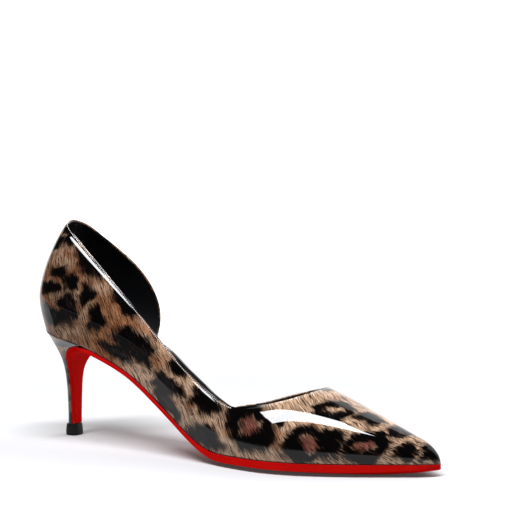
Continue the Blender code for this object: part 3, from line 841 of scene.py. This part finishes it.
WALL_ROWS = 60
far_side = scatter(5, (110, 62), (240, 110), 17, SPOTS)
heel_side = scatter(9, (-13, 450), (75, 540), 16)
upper_spots = (*SPOTS, *far_side, *heel_side)
counter = counter_patch(columns=110, rows=WALL_ROWS)
quarter = quarter_patch(cup_columns=44, columns=150, rows=WALL_ROWS)
vamp = vamp_patch(side_rows=WALL_ROWS, lateral_rows=40, medial_rows=76, columns=80, nose_columns=20)
points, faces, chart = joined((counter, True), (quarter, False), (vamp, True))
upper = put("upper_leather", points, faces, (PATENT, LINING), chart, upper_spots, sharp=60)
fold_in(upper, (quarter[0][:, -1], counter[0][:, -1], vamp[0][WALL_ROWS - 1 :, 0]))
wall = upper.modifiers.new("wall", "SOLIDIFY")
wall.thickness, wall.offset = WALL * MM, -1.0
wall.material_offset, wall.vertex_group = 1, "wall"
edged(upper, FOLD_EDGE, segments=3, angle=55)
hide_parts("upper")


def loft(name, rings, materials, chart=None, spots=(), lined=(0, 0)):
    """A closed solid from rings of points, each end closed with a ladder across the ring. The strips
    of faces from lined[0] to lined[1] round the ring take the second material."""
    rings = np.asarray(rings)
    count, size = rings.shape[:2]
    ring = np.arange(size)
    faces = []
    for k in range(count - 1):
        a, b = k * size + ring, (k + 1) * size + ring
        faces.extend(np.stack([a, np.roll(a, -1), np.roll(b, -1), b], -1).tolist())
    for base in (0, (count - 1) * size):
        for i in range(size // 2 - 1):
            faces.append([base + i, base + i + 1, base + size - 2 - i, base + size - 1 - i])
    if chart is not None:
        chart = chart.reshape(-1, 3)
    thing = put(name, rings.reshape(-1, 3), faces, materials, chart, spots, weld=False)
    work = bmesh.new()
    work.from_mesh(thing.data)
    bmesh.ops.recalc_face_normals(work, faces=work.faces)
    work.to_mesh(thing.data)
    work.free()
    which = np.zeros(len(thing.data.polygons), dtype=np.int32)
    which[: (count - 1) * size].reshape(-1, size)[:, lined[0] : lined[1]] = 1
    thing.data.polygons.foreach_set("material_index", which)
    return thing


def outsole_rings():
    """Rings of the outsole from the toe to the waist, then down the front of the heel."""
    nose = LENGTH - NOSE + NOSE * np.sin(np.linspace(math.pi / 2 * 0.97, 0, 18))
    toe = np.linspace(LENGTH - NOSE, TREAD_END, 12)[1:]
    tread = np.linspace(TREAD_END, TREAD_START, 18)[1:]
    shank = np.linspace(TREAD_START, SOLE_BACK, 60)[1:]
    rows = np.concatenate([np.arange(0.6, 4.3, 0.2), np.arange(4.5, 8.1, 0.5)])
    rings = [sole_ring(float(x)) for x in np.concatenate([nose, toe, tread, shank])]
    return rings + [flap_ring(row) for row in rows]


top_face = (0, len(ACROSS_TOP) - 1)
sole = edged(loft("sole_leather", outsole_rings(), (RED, LINING), lined=top_face), SOFT_EDGE)
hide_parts("outsole")


def heel_rings(turn_count, row_count):
    """Rings of the covered heel with their chart."""
    turns = np.linspace(0, math.pi, turn_count)
    depth = np.sin(turns)
    rings, charts = [], []
    for row in np.linspace(0, HEEL_ROWS, row_count):
        columns = (float(column(row)) for column in HEEL.values())
        front_x, front_z, back_x, back_z, half, power = columns
        x = front_x - (front_x - back_x) * depth
        seat = 1 - np.clip((CUP_CENTRE - x) / (CUP_CENTRE - back_x), 0, 1) ** CUP_ROUND
        own = smooth_step(0, 3, row)
        width = (1 - own) * np.sqrt(seat) + own * np.sqrt(np.maximum(1 - depth**power, 0))
        y = -np.sign(np.cos(turns)) * half * width
        z = front_z + (back_z - front_z) * depth
        if row == 0:
            z = LAST["feather"](x) - GAP
        ring = np.stack([x, y, z], -1)
        ring = np.vstack([ring, ring[-1:] * 0.5 + ring[:1] * 0.5])
        rings.append(ring)
        charts.append(np.stack([ring[:, 0] * 0.6 + ring[:, 1] * 1.2, ring[:, 2] + 700, ring[:, 2] * 0], -1))
    return np.array(rings), np.array(charts)


rings, chart = heel_rings(turn_count=71, row_count=110)
heel_spots = scatter(3, (-30, 700), (60, 770), 11)
heel = edged(loft("heel_cover", rings, (PATENT,), chart, heel_spots), SOFT_EDGE)
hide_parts("heel")


BAND_START, BAND_END = 58.0, 125.0
# Shares of the band's height and how far each draws in, for the round upper edge
BAND_STEPS = ((0, 0), (0.2, 0), (0.45, 0), (0.7, 0), (0.87, 0.04), (0.96, 0.2), (1, 0.5))


def band_rings(count):
    """Rings of the waist band with their chart."""
    rings, charts = [], []
    for x in np.linspace(BAND_START, BAND_END, count):
        lean = math.hypot(1, float(feather(MEDIAL, x + 1) - feather(MEDIAL, x - 1)) / 2)
        depth = float(band_depth(x))
        outer, inner, rise_by = [], [], []
        for share, soft in BAND_STEPS:
            height, along = np.array(BAND_HEIGHT * lean * share), np.array(x - CUP_CENTRE)
            outer.append(inset_point(MEDIAL, along, height, depth + soft))
            inner.append(inset_point(MEDIAL, along, height, depth + BAND_THICK - soft))
            rise_by.append(float(height))
        rings.append(outer + inner[::-1])
        up = np.array(rise_by + rise_by[::-1])
        charts.append(np.stack([up * 0 + x, up + float(feather(MEDIAL, x)) + 900, up * 0], -1))
    return np.array(rings), np.array(charts)


rings, chart = band_rings(70)
band_spots = scatter(4, (50, 905), (130, 975), 12)
inner_face = (len(BAND_STEPS), 2 * len(BAND_STEPS) - 1)
band = edged(loft("band_leather", rings, (PATENT, LINING), chart, band_spots, inner_face), BAND_EDGE)
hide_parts("waist_band")

cup = np.linspace(-0.985 * CUP_ARC, 0, 30)
ahead = np.linspace(0, INSOLE_END - CUP_CENTRE, 110)[1:]
insole_rings = [insole_ring(float(s)) for s in np.concatenate([cup, ahead])]
insole = edged(loft("insole_cover", insole_rings, (SATIN,)), SOFT_EDGE)
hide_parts("insole")


# The rubber top piece: its middle, half length and half width, the power of its outline, and its
# heights with how far the side draws in at each
TOP_CENTRE, TOP_LONG, TOP_WIDE, TOP_ROUND = 18.9, 4.5, 4.4, 2.8
TOP_ROWS = (
    (0, 0.5), (0.1, 0.28), (0.3, 0.1), (0.7, 0), (2.5, 0.03),
    (4.6, 0.15), (6.3, 0.38), (6.6, 0.45), (6.7, 0.6),
)


def top_piece_rings():
    """Rings of the rubber top piece."""
    turns = np.linspace(0, 2 * math.pi, 72, endpoint=False)
    flat = np.stack([np.cos(turns), np.sin(turns)], -1)
    flat /= (np.abs(flat) ** TOP_ROUND).sum(-1, keepdims=True) ** (1 / TOP_ROUND)
    return [
        [(TOP_CENTRE + (TOP_LONG - inset) * c, (TOP_WIDE - inset) * d, z) for c, d in flat]
        for z, inset in TOP_ROWS
    ]


top_piece = loft("top_block", top_piece_rings(), (RUBBER,))
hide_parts("top_piece")


# Seams: how far they lie in from the cut edge and below the unfolded surface, the length of a stitch
# and its hole, and the round bodies of both as places along them with a radius at each. The hole's
# body is a dark bead that paints the shade inside the needle hole
SEAM_INSET = 0.95
SEAM_SINK = 0.55
STITCH_PITCH = 1.3
BEAD_SIDES = 8
AHEAD_STEP = 0.3
STITCH = ((-0.36, 0.05), (-0.28, 0.18), (-0.12, 0.25), (0.12, 0.25), (0.28, 0.18), (0.36, 0.05))
HOLE_SHADE = ((-0.36, 0.08), (-0.28, 0.22), (0.0, 0.25), (0.28, 0.22), (0.36, 0.08))


def beads(name, path, out, pitch, shift, profile, material):
    """Small round-ended beads laid end to end along a path on the leather, as one mesh."""
    path = path - unit(out) * SEAM_SINK
    length = run_length(path)
    where = np.arange(pitch * (1 + shift), length[-1] - pitch, pitch)
    centre = read_at(where, length, path)
    ahead = unit(read_at(where + AHEAD_STEP, length, path) - centre)
    up = unit(read_at(where, length, out))
    across = np.cross(ahead, up)
    turn = np.linspace(0, 2 * math.pi, BEAD_SIDES, endpoint=False)
    bead = np.array([(s, r * math.cos(t), r * math.sin(t)) for s, r in profile for t in turn])
    points = centre[:, None] + bead[None, :, :1] * ahead[:, None] + bead[None, :, 1:2] * across[:, None]
    points = points + bead[None, :, 2:] * up[:, None]
    ring = np.arange(BEAD_SIDES)
    after = np.roll(ring, -1)
    strip = np.stack([ring, after, after + BEAD_SIDES, ring + BEAD_SIDES], -1)
    one = np.concatenate([strip + k * BEAD_SIDES for k in range(len(profile) - 1)])
    faces = (one[None] + (np.arange(len(where)) * len(bead))[:, None, None]).reshape(-1, 4)
    thing = put(name, points.reshape(-1, 3), faces, (material,), weld=False, sharp=80)


def seam(name, path, out):
    """A row of light stitches, each followed by a dark bead that paints the shade in its needle hole."""
    beads("stitches_" + name, path, out, STITCH_PITCH, 0.0, STITCH, THREAD)
    # Dark beads, half a pitch on, paint the shade in the needle holes between the stitches
    beads("hole_shade_" + name, path, out, STITCH_PITCH, 0.5, HOLE_SHADE, LINING)


def under_topline(side, along):
    """Heights that lie SEAM_INSET inside the topline, square to it."""
    slope = topline_height(side, along + 0.5) - topline_height(side, along - 0.5)
    return topline_height(side, along) - SEAM_INSET * np.hypot(1, slope)


along = np.linspace(-CUP_ARC + 1, QUARTER_END - CUP_CENTRE, 500)
height = under_topline(LATERAL, along)
seam("outer", wall_point(LATERAL, along, height), outward(LATERAL, along, height))
share = np.linspace(0.03, 0.98, 200)
edge_x, edge_z = COUNTER_EDGE["x"](share), COUNTER_EDGE["z"](share)
edge = np.stack([edge_x - CUP_CENTRE, edge_z - feather(MEDIAL, edge_x)], -1)
side_step = unit(np.gradient(edge, axis=0))
edge = edge + SEAM_INSET * np.stack([side_step[:, 1], -side_step[:, 0]], -1)
top_along = np.linspace(-CUP_ARC + 1, COUNTER_CORNER - CUP_CENTRE - 2, 120)
in_along = np.concatenate([top_along, edge[:, 0]])
in_height = np.concatenate([under_topline(MEDIAL, top_along), edge[:, 1]])
seam("counter", wall_point(MEDIAL, in_along, in_height), outward(MEDIAL, in_along, in_height))


def vamp_edge_path(side, angles):
    """Path and outward directions SEAM_INSET in front of the vamp's back edge, square to it."""
    ahead_step, turn_step = 0.05, 0.002
    x = VAMP_EDGE[side](np.degrees(angles))
    upward = last_point(side, x, angles + turn_step) - last_point(side, x, angles)
    rate = np.linalg.norm(upward, axis=1) / turn_step
    ahead, up = np.gradient(x), rate * np.gradient(angles)
    size = np.hypot(ahead, up)
    x = x + SEAM_INSET * np.abs(up) / size
    angles = angles - SEAM_INSET * ahead * np.sign(up) / size / rate
    path = last_point(side, x, angles)
    forward = last_point(side, x + ahead_step, angles) - path
    upward = last_point(side, x, angles + turn_step) - path
    return path, np.cross(forward, upward) * -side


outer_path, outer_out = vamp_edge_path(LATERAL, np.radians(np.linspace(28, 89.5, 200)))
inner_path, inner_out = vamp_edge_path(MEDIAL, np.radians(np.linspace(89.5, 2, 250)))
seam("vamp", np.concatenate([outer_path, inner_path]), np.concatenate([outer_out, inner_out]))


# Studio: a pale glowing floor and backdrop, one slanted strip light above, two fills that reflections
# don't show, and a dark sheet that only reflections show
CAMERA = (445.5, -527.0, 129.0)
TURN, TILT = math.radians(29.49), math.radians(2.48)
FOCAL, PICTURE = 1143, 529  # focal length and width of the picture, in its pixels
SENSOR = 36.0


def stage_mesh(name, points, faces, colour, glow):
    """A studio surface with its own colour and glow. Returns its shader graph."""
    mesh = bpy.data.meshes.new(name)
    mesh.from_pydata(points, [], faces)
    light = (glow, glow, glow, 1)
    graph = Graph(name, colour, roughness=0.9, emission_color=light, emission_strength=1.0)
    mesh.materials.append(graph.material)
    shown(name, mesh)
    return graph


GREY = (0.42, 0.42, 0.42)
NEAR_GLOW, FRONT_GLOW, BACK_GLOW = (0.04, 0.04, 0.04), (0.75, 0.75, 0.75), (0.9, 0.9, 0.9)
corners = [(-8, -8, 0), (8, -8, 0), (8, 8, 0), (-8, 8, 0)]
floor = stage_mesh("floor", corners, [(0, 1, 2, 3)], GREY, 0.05)
away = floor.node("VectorMath", "Value", {0: floor.node("TexCoord", "Object")}, operation="LENGTH")
place = floor.node("SeparateXYZ", 1, {0: floor.node("TexCoord", "Object")})
far_glow = floor.mix(floor.ramp(place, -0.3, 0.3), FRONT_GLOW, BACK_GLOW)
floor.output("Emission Color", floor.mix(floor.ramp(away, 0.22, 0.8), NEAR_GLOW, far_glow))

BACKDROP_AWAY, BACKDROP_LOW, BACKDROP_HIGH = 3.2, -0.01, 4.2
turns = np.linspace(math.radians(15), math.radians(165), 24)
ring = [(BACKDROP_AWAY * math.cos(t), BACKDROP_AWAY * math.sin(t)) for t in turns]
wall_points = [(x, y, z) for x, y in ring for z in (BACKDROP_LOW, BACKDROP_HIGH)]
wall_faces = [(2 * k, 2 * k + 2, 2 * k + 3, 2 * k + 1) for k in range(len(ring) - 1)]
stage_mesh("backdrop", wall_points, wall_faces, (0.1, 0.1, 0.1), 1.5)

FLAG = ((-4, -4), (4, -4), (4, -0.17), (-0.3, -0.17), (-4, -1.4))
FLAG_HEIGHT = 0.001
stage_mesh("flag", [(x, y, FLAG_HEIGHT) for x, y in FLAG], [range(len(FLAG))], (0, 0, 0), 0.2)
flag_sheet = bpy.data.objects["flag"]
flag_sheet.visible_camera = flag_sheet.visible_diffuse = flag_sheet.visible_shadow = False


COOL_WHITE = (0.95, 0.96, 1.0)


def softbox(name, place, aim, size, glow, spin=0.0, glossy=True):
    """A lit rectangle at a place, facing a point, in metres, of a given brightness."""
    lamp = bpy.data.lights.new(name, "AREA")
    lamp.shape, lamp.size, lamp.size_y = "RECTANGLE", *size
    lamp.color = COOL_WHITE
    lamp.energy = glow * math.pi * size[0] * size[1]
    thing = shown(name, lamp)
    away = unit(np.array(place, float) - aim)
    side = np.array([math.cos(spin), math.sin(spin), 0.0])
    side = unit(side - away * (side @ away))
    up = np.cross(away, side)
    thing.matrix_world = Matrix([[side[k], up[k], away[k], place[k]] for k in range(3)] + [[0, 0, 0, 1]])
    thing.visible_glossy = glossy


softbox("strip", (0.05, -0.36, 1.19), (0.05, 0, 0.04), (1.02, 0.27), 40, math.radians(46.7))
softbox("fill_back", (0.9, 1.5, 1.9), (0, 0, 0), (1.7, 1.7), 3.0, glossy=False)
softbox("fill_front", (0.9, -2.6, 0.8), (0, 0, 0.05), (1.8, 1.2), 0.6, glossy=False)

WORLD_GLOW = 0.02
world = bpy.data.worlds.new("studio")
bpy.context.scene.world = world
world.use_nodes = True
background = world.node_tree.nodes["Background"]
background.inputs["Color"].default_value = (1, 1, 1, 1)
background.inputs["Strength"].default_value = WORLD_GLOW
bpy.context.scene.view_settings.view_transform = "Standard"

lens = bpy.data.cameras.new("camera")
lens.sensor_width, lens.sensor_fit, lens.lens = SENSOR, "HORIZONTAL", FOCAL / PICTURE * SENSOR
lens.clip_start, lens.clip_end = 0.01, 50
camera = shown("camera", lens)
look = np.array([-math.sin(TURN) * math.cos(TILT), math.cos(TURN) * math.cos(TILT), -math.sin(TILT)])
right = np.array([math.cos(TURN), math.sin(TURN), 0.0])
above = np.cross(right, look)
stand = (np.array(CAMERA) - MIDDLE) * MM
camera.matrix_world = Matrix([[right[k], above[k], -look[k], stand[k]] for k in range(3)] + [[0, 0, 0, 1]])
bpy.context.scene.camera = camera

bpy.context.view_layer.update()
